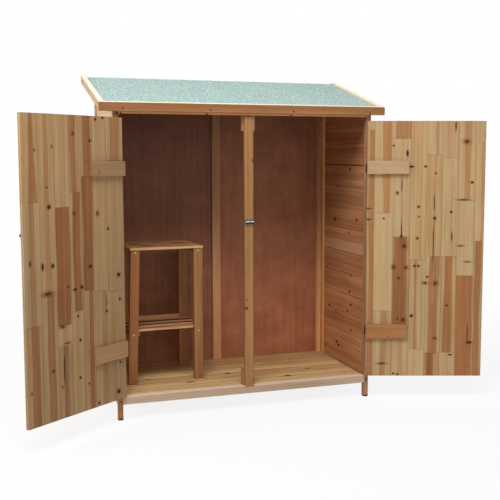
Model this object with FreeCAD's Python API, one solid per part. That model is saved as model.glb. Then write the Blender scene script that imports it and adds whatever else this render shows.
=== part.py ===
import FreeCAD, Part
import math
import os

os.makedirs("parts", exist_ok=True)

# Driving dimensions in millimetres. x runs to the right, y to the back, z up from the ground.
ROOF_HALF_W = 700.0
ROOF_FRONT_Y = -20.0
BACK_Y = 600.0
ROOF_FRONT_Z = 1459.0
ROOF_SLOPE = 0.269
RIM_H = 38.0
FELT_DROP = 8.0
FELT_T = 2.0
ROOF_BOARD_T = 12.0
BARGE_T = 25.0
RAFTER_W = 22.0
RAFTER_H = 44.0

LEG_OUT_X = 635.0
LEG_IN_X = 612.0
LEG_FRONT_DEPTH = 28.0
LEG_REAR_Y0 = 550.0
LEG_REAR_Y1 = 596.0
GROOVE_DEPTH = 6.0
BOARD_IN_X = 619.0
BOARD_OUT_X = 631.0
RAIL_Z0 = 73.0
RAIL_Z1 = 110.0
RAIL_FRONT_DEPTH = 45.0
RAIL_REAR_Y0 = 551.0
REAR_TOP_Y0 = 572.0
REAR_TOP_Z0 = 1552.0
SIDE_TOP_RAIL_T = 22.0
LINTEL_Z0 = 1404.0
EDGE_CHAMFER = 1.5
FINE_CHAMFER = 1.0
POST_X0 = -20.0
POST_X1 = 23.0
POST_T = 18.0
POST_LET_IN = 6.0
LOW_BLOCK_X = (-30.0, 34.0)
LOW_BLOCK_Z_LEFT = 194.0
LOW_BLOCK_Z_RIGHT = 183.0
TOP_BLOCK_X = (-27.0, 35.0)
TOP_BLOCK_Z = (1338.0, 1425.0)
TOP_BLOCK_NOTCH_Z = 1403.0
BLOCK_T = 18.0
BACK_SHEET_T = 4.0
BATTEN_T = 20.0
BATTEN_MIDDLE_W = 44.0
BATTEN_CORNER_X = (583.0, 609.0)

BOARD_Z = (110, 218, 288, 390, 492, 604, 716, 839, 950, 1061, 1172, 1283, 1394, 1505, 1600)
TONGUE_T = 4.0
TONGUE_H = 5.0
TONGUE_CLEARANCE = 0.1
FLOOR_T = 14.0
FLOOR_SEAMS = (45, 116, 198.5, 281, 363.5, 446, 528.5, 596)
FLOOR_GAP = 0.8
JOIST_X = (-590, -200, 200, 590)
JOIST_W = 44.0
JOIST_Z0 = 75.0

DOOR_W = 584.0
DOOR_T = 16.0
DOOR_Z0 = 115.0
DOOR_Z1 = 1391.0
HINGE_X = 610.75
HINGE_Y = -4.5
DOOR_EDGE_X = 609.5
OPEN_LEFT_DEG = 141.8
OPEN_RIGHT_DEG = 160.8
CLEAT_LEN = 206.0
CLEAT_T = 16.0
UPPER_CLEAT = (1131.0, 1197.0)
LOWER_CLEAT = (308.0, 380.0)
UPPER_HINGE_Z = 1158.0
LOWER_HINGE_Z = 344.0

PIN_R = 2.5
KNUCKLE_R = 4.0
BORE_CLEARANCE = 0.06
KNUCKLE_H = 38.0
KNUCKLE_GAP = 0.55
END_KNUCKLE = 11.8
GAP_KNUCKLE = 0.4
HINGE_PLATE_T = 2.0
KNUCKLE_ROOT_Y = -0.5
LEAF_H = 62.0
LEAF_SCREW_X = 625.0
LEAF_SCREW_RISE = 23.0
HINGE_HOLE_R = 2.1
STRAP_LEN = 150.0
STRAP_ROOT_LEN = 22.0
STRAP_ROOT_HALF = 17.0
STRAP_TIP_HALF = (8.0, 4.0)
STRAP_TIP_LEN = 8.0
STRAP_SCREW_U = (22.0, 72.0, 124.0)

BOLT_Z = 906.0
BOLT_Y = -6.0
BOLT_R = 4.0
BOLT_PLATE_T = 1.5
BOLT_PLATE_LEN = 84.0
BOLT_PLATE_HALF = 13.0
BOLT_INSET = 1.5
GUIDE_W = 12.0
GUIDE_INSET = 2.0
BOLT_SCREW_U = (22.0, 62.0)
BOLT_SCREW_RISE = 9.5
BOLT_HOLE_R = 1.7
ROD_LEN = 102.0
KNOB_U = 60.0
KNOB_STEM_LEN = 14.0
KNOB_STEM_R = 2.8
KNOB_T = 4.0
KNOB_R = 4.5
WRAP_R = 6.0
KEEPER_R = 8.0
KEEPER_T = 1.6
KEEPER_TAB = 5.5
KEEPER_HOLE_R = 1.3
KEEPER_SCREW_OUT = 2.7
KEEPER_SCREW_SIDE = 5.5
KEEPER_X = (2.0, 20.5)
KEEPER_MIDDLE = 1.5

# Small round parts that repeat get few sides, the fits of pins and rods stay true cylinders.
HEAD_SIDES = 8
KNUCKLE_SIDES = 16
SHANK_SIDES = 3
ARCH_STEPS = 8

TABLE_FLOOR_Z = RAIL_Z1
TABLE_TOP_Z = 779.5
TABLE_X0 = -543.0
TABLE_X1 = -178.0
TABLE_Y0 = 200.0
TABLE_Y1 = 524.0
TABLE_TURN_DEG = 2.5
TABLE_BOARD_T = 11.0
TABLE_BOARD_GAP = 3.0
TABLE_LEG_W = 44.0
TABLE_LEG_T = 22.0
TABLE_LEG_LEAN = 21.5
TABLE_EDGE_LEFT = 5.0
TABLE_EDGE_RIGHT = 3.0
TABLE_EDGE_FRONT = 5.0
TABLE_EDGE_REAR = 17.0
SHELF_TOP_Z = 377.0
SHELF_T = 10.0
SLAT_Y = ((228, 325), (348, 400), (432, 480))
SLAT_INSET = 2.0
STRETCHER_H = 25.0
BOARD_SCREW_LEN = 30.0
RAIL_TO_LEG_SCREW_LEN = 48.0
SLAT_SCREW_LEN = 26.0
STRETCHER_SCREW_LEN = 70.0
STRETCHER_SCREW_RISE = 13.0
BOARD_SCREW_EDGE = 14.0

# Fasteners. A screw reaches its length from the face that its head sits on.
FASCIA_SCREWS_XZ = ((-594, 1432), (-189, 1431), (220, 1429.5), (619, 1429))
FASCIA_SCREW_LEN = 34.0
LINTEL_SCREWS_XZ = ((-617.5, 1410), (-601, 1411), (-202, 1413), (215, 1413))
LINTEL_SCREW_LEN = 16.0
RAIL_SCREW_XZ = (622, 87)
RAIL_SCREW_LEN = 58.0
LEG_SCREWS_YZ = ((14, 101), (573, 84), (9, 1425), (584, 1575))
LEG_SCREW_LEN = 48.0
BARGE_SCREWS_Y = (60, 300, 540)
BARGE_SCREW_LEN = 50.0
BLOCK_SCREWS_XZ = ((0, 130), (0, 168), (-12, 1358), (14, 1388))
BLOCK_SCREW_LEN = 30.0
NAIL_X = (-623, -9, 9, 623)
NAIL_Z = (160, 430, 700, 970, 1240, 1510)
NAIL_RAIL_X = (-320, 320)
NAIL_RAIL_Z = (85, 1577)
NAIL_LEN = 22.0
CLEAT_SCREWS = ((56, 13), (190, -6))
CLEAT_SCREW_LEN = 28.0
STRAP_SCREW_LEN = 26.0
LEAF_SCREW_LEN = 24.0
BOLT_SCREW_LEN = 14.0

# Cutting solids reach this far past what they cut.
PAST = 5.0
ABOVE_ROOF = 1700.0

# The row's origin is under the middle of the whole part with both doors open as photographed.
MIDDLE_X = 45.4
MIDDLE_Y = 109.3

shapes = {}


def box(x0, x1, y0, y1, z0, z1):
    corner = FreeCAD.Vector(min(x0, x1), min(y0, y1), min(z0, z1))
    return Part.makeBox(abs(x1 - x0), abs(y1 - y0), abs(z1 - z0), corner)


def prism(points, direction):
    wire = Part.makePolygon([FreeCAD.Vector(*p) for p in points + [points[0]]])
    solid = Part.Face(wire).extrude(FreeCAD.Vector(*direction))
    return solid


def roof_z(y, drop):
    return ROOF_FRONT_Z + ROOF_SLOPE * (y - ROOF_FRONT_Y) - drop


def sloped(x0, x1, y0, y1, z0, drop):
    low, high = min(x0, x1), max(x0, x1)
    points = [(low, y0, z0), (low, y1, z0), (low, y1, roof_z(y1, drop)), (low, y0, roof_z(y0, drop))]
    return prism(points, (high - low, 0, 0))


def roof_strip(x0, x1, y0, y1, drop_top, drop_bottom):
    low, high = min(x0, x1), max(x0, x1)
    points = [
        (low, y0, roof_z(y0, drop_bottom)),
        (low, y1, roof_z(y1, drop_bottom)),
        (low, y1, roof_z(y1, drop_top)),
        (low, y0, roof_z(y0, drop_top)),
    ]
    return prism(points, (high - low, 0, 0))


def soften(shape, size, along):
    edges = []
    for edge in shape.Edges:
        if len(edge.Vertexes) == 2:
            span = edge.Vertexes[1].Point - edge.Vertexes[0].Point
            span.normalize()
            if abs(abs(span.dot(FreeCAD.Vector(*along))) - 1.0) < 1e-6:
                edges.append(edge)
    return shape.makeChamfer(size, edges)


def mirrored(shape):
    return shape.mirror(FreeCAD.Vector(0, 0, 0), FreeCAD.Vector(1, 0, 0))


def both_sides(shape):
    return mirrored(shape), shape


def ngon(radius, sides, start, axis, length):
    side = FreeCAD.Vector(0, 0, 1) if abs(axis.z) < 0.5 else FreeCAD.Vector(1, 0, 0)
    other = axis.cross(side)
    ring = []
    for k in range(sides):
        a = 2 * math.pi * (k + 0.5) / sides
        ring.append(start + side * (radius * math.cos(a)) + other * (radius * math.sin(a)))
    return Part.Face(Part.makePolygon(ring + [ring[0]])).extrude(axis * length)


def screw(at, inward, length, head_r=4.0, shank_r=1.9, proud=0.4, head_t=2.4):
    axis = FreeCAD.Vector(*inward)
    start = FreeCAD.Vector(*at) - axis * proud
    head = ngon(head_r, HEAD_SIDES, start, axis, head_t)
    shank = ngon(shank_r, SHANK_SIDES, start + axis * head_t, axis, length - head_t + proud)
    return head.fuse(shank).removeSplitter()


def group(parts):
    return parts[0] if len(parts) == 1 else Part.makeCompound(parts)


UNDER_ROOF = FELT_DROP + FELT_T + ROOF_BOARD_T

# Legs with a groove that houses the ends of the side boards.
front_leg = sloped(LEG_IN_X, LEG_OUT_X, 0, LEG_FRONT_DEPTH, 0, UNDER_ROOF)
groove_y0 = LEG_FRONT_DEPTH - GROOVE_DEPTH
front_groove = box(BOARD_IN_X, BOARD_OUT_X, groove_y0, LEG_FRONT_DEPTH + PAST, RAIL_Z1, ABOVE_ROOF)
front_leg = front_leg.cut(front_groove)
rear_leg = sloped(LEG_IN_X, LEG_OUT_X, LEG_REAR_Y0, LEG_REAR_Y1, 0, UNDER_ROOF)
groove_y1 = LEG_REAR_Y0 + GROOVE_DEPTH
rear_groove = box(BOARD_IN_X, BOARD_OUT_X, LEG_REAR_Y0 - PAST, groove_y1, RAIL_Z1, ABOVE_ROOF)
rear_leg = rear_leg.cut(rear_groove)
shapes["leg_front_left"], shapes["leg_front_right"] = both_sides(front_leg)
shapes["leg_rear_left"], shapes["leg_rear_right"] = both_sides(rear_leg)

# Bottom rails, lintel and the rails that carry the roof.
rail = box(-LEG_IN_X, LEG_IN_X, 0, RAIL_FRONT_DEPTH, RAIL_Z0, RAIL_Z1)
rail = soften(rail, EDGE_CHAMFER, (1, 0, 0))
post_foot_z = RAIL_Z1 - POST_LET_IN
shapes["rail_front_bottom"] = rail.cut(box(POST_X0, POST_X1, -PAST, POST_T, post_foot_z, RAIL_Z1 + PAST))
floor_under = RAIL_Z1 - FLOOR_T
shapes["rail_rear_bottom"] = box(-LEG_IN_X, LEG_IN_X, RAIL_REAR_Y0, LEG_REAR_Y1, RAIL_Z0, floor_under)
side_rail = box(LEG_IN_X, LEG_OUT_X, LEG_FRONT_DEPTH, LEG_REAR_Y0, RAIL_Z0, RAIL_Z1)
shapes["rail_side_bottom_left"], shapes["rail_side_bottom_right"] = both_sides(side_rail)
shapes["lintel_front"] = sloped(-LEG_IN_X, LEG_IN_X, 0, POST_T, LINTEL_Z0, UNDER_ROOF)
shapes["rail_rear_top"] = sloped(-LEG_IN_X, LEG_IN_X, REAR_TOP_Y0, LEG_REAR_Y1, REAR_TOP_Z0, UNDER_ROOF)
under_rafter = UNDER_ROOF + RAFTER_H
top_rail_x0 = BOARD_IN_X - SIDE_TOP_RAIL_T
top_rail = roof_strip(top_rail_x0, BOARD_IN_X, LEG_FRONT_DEPTH, LEG_REAR_Y0, UNDER_ROOF, under_rafter)
shapes["rail_side_top_left"], shapes["rail_side_top_right"] = both_sides(top_rail)
rafter_x1 = RAFTER_W / 2
shapes["rafter_middle"] = roof_strip(-rafter_x1, rafter_x1, POST_T, REAR_TOP_Y0, UNDER_ROOF, under_rafter)

# Middle post, let into the bottom rail, and the stop blocks that the closed doors meet.
post = box(POST_X0, POST_X1, 0, POST_T, post_foot_z, LINTEL_Z0)
shapes["post_middle"] = soften(post, EDGE_CHAMFER, (0, 0, 1))
block_low = [
    (LOW_BLOCK_X[0], POST_T, RAIL_Z1),
    (LOW_BLOCK_X[1], POST_T, RAIL_Z1),
    (LOW_BLOCK_X[1], POST_T, LOW_BLOCK_Z_RIGHT),
    (LOW_BLOCK_X[0], POST_T, LOW_BLOCK_Z_LEFT),
]
block_back = POST_T + BLOCK_T
shapes["post_block_bottom"] = prism(block_low, (0, BLOCK_T, 0))
block_top = box(TOP_BLOCK_X[0], TOP_BLOCK_X[1], POST_T, block_back, TOP_BLOCK_Z[0], TOP_BLOCK_Z[1])
notch_z1 = TOP_BLOCK_Z[1] + PAST
notch = box(-rafter_x1, rafter_x1, POST_T - PAST, block_back + PAST, TOP_BLOCK_NOTCH_Z, notch_z1)
shapes["post_block_top"] = block_top.cut(notch)

# Horizontal tongued boards of one side wall, cut off along the roof slope.
board_y0 = groove_y0
board_y1 = groove_y1
wall_limit = sloped(BOARD_IN_X, BOARD_OUT_X, board_y0, board_y1, RAIL_Z1, UNDER_ROOF)
mid_x = (BOARD_IN_X + BOARD_OUT_X) / 2
tongue = TONGUE_T / 2
groove = tongue + TONGUE_CLEARANCE
groove_h = TONGUE_H + 2 * TONGUE_CLEARANCE
side_boards = []
for i in range(len(BOARD_Z) - 1):
    z0 = BOARD_Z[i]
    z1 = BOARD_Z[i + 1]
    c = EDGE_CHAMFER
    outline = [(BOARD_IN_X, z0 + c), (BOARD_IN_X + c, z0)]
    if i > 0:
        outline += [(mid_x - groove, z0), (mid_x - groove, z0 + groove_h)]
        outline += [(mid_x + groove, z0 + groove_h), (mid_x + groove, z0)]
    outline += [(BOARD_OUT_X - c, z0), (BOARD_OUT_X, z0 + c), (BOARD_OUT_X, z1 - c), (BOARD_OUT_X - c, z1)]
    if i < len(BOARD_Z) - 2:
        outline += [(mid_x + tongue, z1), (mid_x + tongue, z1 + TONGUE_H)]
        outline += [(mid_x - tongue, z1 + TONGUE_H), (mid_x - tongue, z1)]
    outline += [(BOARD_IN_X + c, z1), (BOARD_IN_X, z1 - c)]
    board = prism([(x, board_y0, z) for x, z in outline], (0, board_y1 - board_y0, 0))
    if z1 + TONGUE_H > roof_z(board_y0, UNDER_ROOF):
        board = board.common(wall_limit)
    side_boards.append(board)
wall = group(side_boards)
shapes["side_boards_left"], shapes["side_boards_right"] = both_sides(wall)

# Floor boards on joists.
half_gap = FLOOR_GAP / 2
floor = []
for i in range(len(FLOOR_SEAMS) - 1):
    y0 = FLOOR_SEAMS[i] + (0 if i == 0 else half_gap)
    y1 = FLOOR_SEAMS[i + 1] - (0 if i == len(FLOOR_SEAMS) - 2 else half_gap)
    floor.append(box(-LEG_IN_X, LEG_IN_X, y0, y1, floor_under, RAIL_Z1))
shapes["floor_boards"] = group(floor)
joists = []
half_joist = JOIST_W / 2
for x in JOIST_X:
    joists.append(box(x - half_joist, x + half_joist, RAIL_FRONT_DEPTH, RAIL_REAR_Y0, JOIST_Z0, floor_under))
shapes["floor_joists"] = group(joists)

# Back sheets and the battens inside them.
back = sloped(0, LEG_OUT_X, LEG_REAR_Y1, LEG_REAR_Y1 + BACK_SHEET_T, RAIL_Z0, UNDER_ROOF)
shapes["back_panel_left"], shapes["back_panel_right"] = both_sides(back)
batten_y0 = LEG_REAR_Y1 - BATTEN_T
batten_x1 = BATTEN_MIDDLE_W / 2
shapes["back_batten_middle"] = box(-batten_x1, batten_x1, batten_y0, LEG_REAR_Y1, RAIL_Z1, REAR_TOP_Z0)
corner = box(BATTEN_CORNER_X[0], BATTEN_CORNER_X[1], batten_y0, LEG_REAR_Y1, RAIL_Z1, REAR_TOP_Z0)
shapes["back_batten_left"], shapes["back_batten_right"] = both_sides(corner)

# Roof: board and felt between two barge boards, with the fascia across the front.
inside_barge = ROOF_HALF_W - BARGE_T
board_top = FELT_DROP + FELT_T
shapes["roof_board"] = roof_strip(-inside_barge, inside_barge, 0, BACK_Y, board_top, UNDER_ROOF)
shapes["roof_felt"] = roof_strip(-inside_barge, inside_barge, 0, BACK_Y, FELT_DROP, board_top)
barge = roof_strip(inside_barge, ROOF_HALF_W, 0, BACK_Y, 0, RIM_H)
shapes["barge_board_left"], shapes["barge_board_right"] = both_sides(barge)
fascia_z0 = ROOF_FRONT_Z - RIM_H - 1
shapes["fascia_front"] = sloped(-ROOF_HALF_W, ROOF_HALF_W, ROOF_FRONT_Y, 0, fascia_z0, 0)

# Frame screws.
frame_screws = []
for x, z in FASCIA_SCREWS_XZ:
    frame_screws.append(screw((x, ROOF_FRONT_Y, z), (0, 1, 0), FASCIA_SCREW_LEN))
for x, z in LINTEL_SCREWS_XZ:
    frame_screws.append(screw((x, 0, z), (0, 1, 0), LINTEL_SCREW_LEN))
for side in (-1, 1):
    frame_screws.append(screw((side * RAIL_SCREW_XZ[0], 0, RAIL_SCREW_XZ[1]), (0, 1, 0), RAIL_SCREW_LEN))
    for y, z in LEG_SCREWS_YZ:
        frame_screws.append(screw((side * LEG_OUT_X, y, z), (-side, 0, 0), LEG_SCREW_LEN))
    for y in BARGE_SCREWS_Y:
        z = roof_z(y, (board_top + UNDER_ROOF) / 2)
        frame_screws.append(screw((side * ROOF_HALF_W, y, z), (-side, 0, 0), BARGE_SCREW_LEN))
for x, z in BLOCK_SCREWS_XZ:
    frame_screws.append(screw((x, block_back, z), (0, -1, 0), BLOCK_SCREW_LEN))
shapes["frame_screws"] = group(frame_screws)

# Nails that hold the back sheets.
nail_places = [(x, z) for z in NAIL_Z for x in NAIL_X]
nail_places += [(x, z) for x in NAIL_RAIL_X for z in NAIL_RAIL_Z]
nails = []
for x, z in nail_places:
    nails.append(screw((x, BACK_Y, z), (0, -1, 0), NAIL_LEN, 3.0, 1.1, 0.5, 1.3))
shapes["back_nails"] = group(nails)

# Bolt keepers: bent strips on the post that the bolt rods enter.
def arch(x0, x1, radius, foot_y):
    points = [(x0, foot_y, BOLT_Z - radius)]
    for k in range(ARCH_STEPS + 1):
        a = math.pi * k / ARCH_STEPS
        points.append((x0, BOLT_Y - radius * math.sin(a), BOLT_Z - radius * math.cos(a)))
    points.append((x0, foot_y, BOLT_Z + radius))
    return prism(points, (x1 - x0, 0, 0))


def hole(x, z, r, y0, y1):
    return ngon(r, HEAD_SIDES, FreeCAD.Vector(x, y0, z), FreeCAD.Vector(0, 1, 0), y1 - y0)


keeper = arch(KEEPER_X[0], KEEPER_X[1], KEEPER_R, 0)
for s in (-1, 1):
    tab_in = BOLT_Z + s * (KEEPER_R - 1)
    tab_out = BOLT_Z + s * (KEEPER_R + KEEPER_TAB)
    keeper = keeper.fuse(box(KEEPER_X[0], KEEPER_X[1], -KEEPER_T, 0, tab_in, tab_out))
keeper = keeper.cut(arch(KEEPER_X[0] - 1, KEEPER_X[1] + 1, KEEPER_R - KEEPER_T, 1))
keeper_screws = []
keeper_x = (KEEPER_X[0] + KEEPER_X[1]) / 2
for x in (keeper_x - KEEPER_SCREW_SIDE, keeper_x + KEEPER_SCREW_SIDE):
    for z in (BOLT_Z - KEEPER_R - KEEPER_SCREW_OUT, BOLT_Z + KEEPER_R + KEEPER_SCREW_OUT):
        keeper = keeper.cut(hole(x, z, KEEPER_HOLE_R, -PAST, 1))
        at = (x, -KEEPER_T, z)
        keeper_screws.append(screw(at, (0, 1, 0), BOLT_SCREW_LEN, 2.2, 1.1, 0.8, 0.8))
keeper = keeper.removeSplitter()
shapes["bolt_keepers"] = group([mirrored(keeper), keeper])
shapes["keeper_screws"] = group([mirrored(p) for p in keeper_screws] + keeper_screws)
for name in ("bolt_keepers", "keeper_screws"):
    shapes[name].translate(FreeCAD.Vector(KEEPER_MIDDLE, 0, 0))


# T hinges. Shapes are made for the closed right door; the left ones are mirrored.
def round_pin(r, z0, z1):
    return Part.makeCylinder(r, z1 - z0, FreeCAD.Vector(HINGE_X, HINGE_Y, z0), FreeCAD.Vector(0, 0, 1))


def knuckle(z0, z1):
    base = FreeCAD.Vector(HINGE_X, HINGE_Y, z0)
    return ngon(KNUCKLE_R, KNUCKLE_SIDES, base, FreeCAD.Vector(0, 0, 1), z1 - z0)


leaves = []
leaf_screws = []
pins = []
straps = []
strap_screws = []
for zc in (LOWER_HINGE_Z, UPPER_HINGE_Z):
    z0 = zc - KNUCKLE_H / 2
    z1 = zc + KNUCKLE_H / 2
    clear = KNUCKLE_R + KNUCKLE_GAP
    plate = box(HINGE_X + clear, LEG_OUT_X - 1, -HINGE_PLATE_T, 0, zc - LEAF_H / 2, zc + LEAF_H / 2)
    for a, b in ((z0, z0 + END_KNUCKLE), (z1 - END_KNUCKLE, z1)):
        plate = plate.fuse(box(HINGE_X, HINGE_X + clear, -HINGE_PLATE_T, KNUCKLE_ROOT_Y, a, b))
        plate = plate.fuse(knuckle(a, b))
    plate = plate.cut(round_pin(PIN_R, z0 - 1, z1 + 1))
    for s in (-1, 1):
        z = zc + s * LEAF_SCREW_RISE
        plate = plate.cut(hole(LEAF_SCREW_X, z, HINGE_HOLE_R, -PAST, 1))
        at = (LEAF_SCREW_X, -HINGE_PLATE_T, z)
        leaf_screws.append(screw(at, (0, 1, 0), LEAF_SCREW_LEN, 3.6, 1.8, 1.0, 1.0))
    leaves.append(plate.removeSplitter())
    pins.append(round_pin(PIN_R, z0 - 1.0, z1 + 1.0))
    x_start = HINGE_X - clear
    x_end = DOOR_EDGE_X - STRAP_LEN
    upper = [
        (x_start, STRAP_ROOT_HALF),
        (x_start - STRAP_ROOT_LEN, STRAP_ROOT_HALF),
        (x_end + STRAP_TIP_LEN, STRAP_TIP_HALF[0]),
        (x_end, STRAP_TIP_HALF[1]),
    ]
    lower = [(x, -rise) for x, rise in reversed(upper)]
    outline = [(x, -HINGE_PLATE_T, zc + rise) for x, rise in upper + lower]
    strap = prism(outline, (0, HINGE_PLATE_T, 0))
    a = z0 + END_KNUCKLE + GAP_KNUCKLE
    b = z1 - END_KNUCKLE - GAP_KNUCKLE
    strap = strap.fuse(box(x_start - 1, HINGE_X, -HINGE_PLATE_T, KNUCKLE_ROOT_Y, a, b))
    strap = strap.fuse(knuckle(a, b))
    strap = strap.cut(round_pin(PIN_R + BORE_CLEARANCE, z0 - 1, z1 + 1))
    for u in STRAP_SCREW_U:
        strap = strap.cut(hole(DOOR_EDGE_X - u, zc, HINGE_HOLE_R, -PAST, 1))
        at = (DOOR_EDGE_X - u, -HINGE_PLATE_T, zc)
        strap_screws.append(screw(at, (0, 1, 0), STRAP_SCREW_LEN, 3.6, 1.8, 1.0, 1.0))
    straps.append(strap.removeSplitter())
leaf_pair = group(leaves)
shapes["hinge_leaves_left"], shapes["hinge_leaves_right"] = both_sides(leaf_pair)
shapes["hinge_pins"] = group([mirrored(p) for p in pins] + pins)
shapes["leaf_screws"] = group([mirrored(p) for p in leaf_screws] + leaf_screws)

# One closed right door with its fittings.
door_x1 = DOOR_EDGE_X
door_x0 = DOOR_EDGE_X - DOOR_W
panel = soften(box(door_x0, door_x1, 0, DOOR_T, DOOR_Z0, DOOR_Z1), FINE_CHAMFER, (0, 0, 1))
cleats = []
cleat_screws = []
for z0, z1 in (LOWER_CLEAT, UPPER_CLEAT):
    cleat = box(door_x1 - CLEAT_LEN, door_x1, DOOR_T, DOOR_T + CLEAT_T, z0, z1)
    cleats.append(soften(cleat, EDGE_CHAMFER, (1, 0, 0)))
    zm = (z0 + z1) / 2
    for u, dz in CLEAT_SCREWS:
        at = (door_x1 - u, DOOR_T + CLEAT_T, zm + dz)
        cleat_screws.append(screw(at, (0, -1, 0), CLEAT_SCREW_LEN))
plate_x0 = door_x0 + BOLT_INSET
plate_x1 = plate_x0 + BOLT_PLATE_LEN
plate_z0 = BOLT_Z - BOLT_PLATE_HALF
plate_z1 = BOLT_Z + BOLT_PLATE_HALF
bolt_plate = box(plate_x0, plate_x1, -BOLT_PLATE_T, 0, plate_z0, plate_z1)
for guide_x in (plate_x0 + GUIDE_INSET, plate_x1 - GUIDE_INSET - GUIDE_W):
    bolt_plate = bolt_plate.fuse(arch(guide_x, guide_x + GUIDE_W, WRAP_R, -BOLT_PLATE_T))
along = FreeCAD.Vector(1, 0, 0)
bore_at = FreeCAD.Vector(plate_x0 - PAST, BOLT_Y, BOLT_Z)
bore = Part.makeCylinder(BOLT_R + BORE_CLEARANCE, BOLT_PLATE_LEN + 2 * PAST, bore_at, along)
bolt_plate = bolt_plate.cut(bore)
bolt_screws = []
for u in BOLT_SCREW_U:
    for s in (-1, 1):
        x = plate_x0 + u
        z = BOLT_Z + s * BOLT_SCREW_RISE
        bolt_plate = bolt_plate.cut(hole(x, z, BOLT_HOLE_R, -PAST, 1))
        at = (x, -BOLT_PLATE_T, z)
        bolt_screws.append(screw(at, (0, 1, 0), BOLT_SCREW_LEN, 2.8, 1.5, 0.8, 0.8))
bolt_plate = bolt_plate.removeSplitter()
rod_x0 = plate_x0 + 0.5
rod = Part.makeCylinder(BOLT_R, ROD_LEN, FreeCAD.Vector(rod_x0, BOLT_Y, BOLT_Z), along)
knob_at = FreeCAD.Vector(plate_x0 + KNOB_U, BOLT_Y, BOLT_Z)
out = FreeCAD.Vector(0, -1, 0)
rod = rod.fuse(ngon(KNOB_STEM_R, HEAD_SIDES, knob_at, out, KNOB_STEM_LEN))
rod = rod.fuse(ngon(KNOB_R, KNUCKLE_SIDES, knob_at + out * KNOB_STEM_LEN, out, KNOB_T))
rod = rod.removeSplitter()
door = {
    "door_panel": panel,
    "door_cleats": group(cleats),
    "hinge_straps": group(straps),
    "bolt_plate": bolt_plate,
    "bolt_rod": rod,
    "door_screws": group(strap_screws + cleat_screws + bolt_screws),
}
up = FreeCAD.Vector(0, 0, 1)
for name in door:
    right = door[name].copy()
    left = mirrored(door[name])
    right.rotate(FreeCAD.Vector(HINGE_X, HINGE_Y, 0), up, OPEN_RIGHT_DEG)
    left.rotate(FreeCAD.Vector(-HINGE_X, HINGE_Y, 0), up, -OPEN_LEFT_DEG)
    shapes[name + "_left"] = left
    shapes[name + "_right"] = right

# Loose table that stands in the left bay, turned a little. Its front left leg stands askew.
leg_top = TABLE_TOP_Z - TABLE_BOARD_T
lx0 = TABLE_X0 + TABLE_EDGE_LEFT
rx0 = TABLE_X1 - TABLE_EDGE_RIGHT - TABLE_LEG_W
fy0 = TABLE_Y0 + TABLE_EDGE_FRONT
ry0 = TABLE_Y1 - TABLE_EDGE_REAR - TABLE_LEG_T
rail_y0 = fy0 + TABLE_LEG_T


def table_leg(x0, y0, lean):
    foot = x0 - lean
    points = [
        (foot, y0, TABLE_FLOOR_Z),
        (foot + TABLE_LEG_W, y0, TABLE_FLOOR_Z),
        (x0 + TABLE_LEG_W, y0, leg_top),
        (x0, y0, leg_top),
    ]
    up_leg = FreeCAD.Vector(lean, 0, leg_top - TABLE_FLOOR_Z)
    up_leg.normalize()
    return soften(prism(points, (0, TABLE_LEG_T, 0)), FINE_CHAMFER, up_leg)


def lean_at(z):
    return TABLE_LEG_LEAN * (leg_top - z) / (leg_top - TABLE_FLOOR_Z)


table = {}
table["table_legs"] = group([
    table_leg(lx0, fy0, TABLE_LEG_LEAN),
    table_leg(rx0, fy0, 0),
    table_leg(lx0, ry0, 0),
    table_leg(rx0, ry0, 0),
])
screws = []
boards = []
half_leg = TABLE_LEG_W / 2
board_w = (TABLE_Y1 - TABLE_Y0 - 3 * TABLE_BOARD_GAP) / 4
for i in range(4):
    y0 = TABLE_Y0 + i * (board_w + TABLE_BOARD_GAP)
    board = box(TABLE_X0, TABLE_X1, y0, y0 + board_w, leg_top, TABLE_TOP_Z)
    boards.append(soften(board, FINE_CHAMFER, (1, 0, 0)))
    yb = min(max(y0 + board_w / 2, rail_y0 + BOARD_SCREW_EDGE), ry0 - BOARD_SCREW_EDGE)
    for x in (lx0 + half_leg, rx0 + half_leg):
        screws.append(screw((x, yb, TABLE_TOP_Z), (0, 0, -1), BOARD_SCREW_LEN, 3.5, 1.7))
table["table_top_boards"] = group(boards)

# Rails of the leg timber, laid flat between front and rear legs, carry the boards and the slats.
rails = []
shelf_under = SHELF_TOP_Z - SHELF_T
for rail_top in (leg_top, shelf_under):
    for x0 in (lx0, rx0):
        rails.append(box(x0, x0 + TABLE_LEG_W, rail_y0, ry0, rail_top - TABLE_LEG_T, rail_top))
        z = rail_top - TABLE_LEG_T / 2
        shift = lean_at(z) if x0 == lx0 else 0
        front_at = (x0 + half_leg - shift, fy0, z)
        rear_at = (x0 + half_leg, ry0 + TABLE_LEG_T, z)
        screws.append(screw(front_at, (0, 1, 0), RAIL_TO_LEG_SCREW_LEN))
        screws.append(screw(rear_at, (0, -1, 0), RAIL_TO_LEG_SCREW_LEN))
table["table_rails"] = group(rails)
slats = []
slat_x1 = rx0 + TABLE_LEG_W - SLAT_INSET
for y0, y1 in SLAT_Y:
    slat = box(lx0 + SLAT_INSET, slat_x1, y0, y1, shelf_under, SHELF_TOP_Z)
    slats.append(soften(slat, FINE_CHAMFER, (1, 0, 0)))
    for x in (lx0 + half_leg, rx0 + half_leg):
        screws.append(screw((x, (y0 + y1) / 2, SHELF_TOP_Z), (0, 0, -1), SLAT_SCREW_LEN, 3.0, 1.5))
table["table_shelf_slats"] = group(slats)
stretcher = box(lx0 + TABLE_LEG_W, rx0, ry0, ry0 + TABLE_LEG_T, shelf_under, shelf_under + STRETCHER_H)
table["table_rear_stretcher"] = stretcher
for x, way in ((lx0, 1), (rx0 + TABLE_LEG_W, -1)):
    at = (x, ry0 + TABLE_LEG_T / 2, shelf_under + STRETCHER_SCREW_RISE)
    screws.append(screw(at, (way, 0, 0), STRETCHER_SCREW_LEN))
table["table_screws"] = group(screws)
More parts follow.
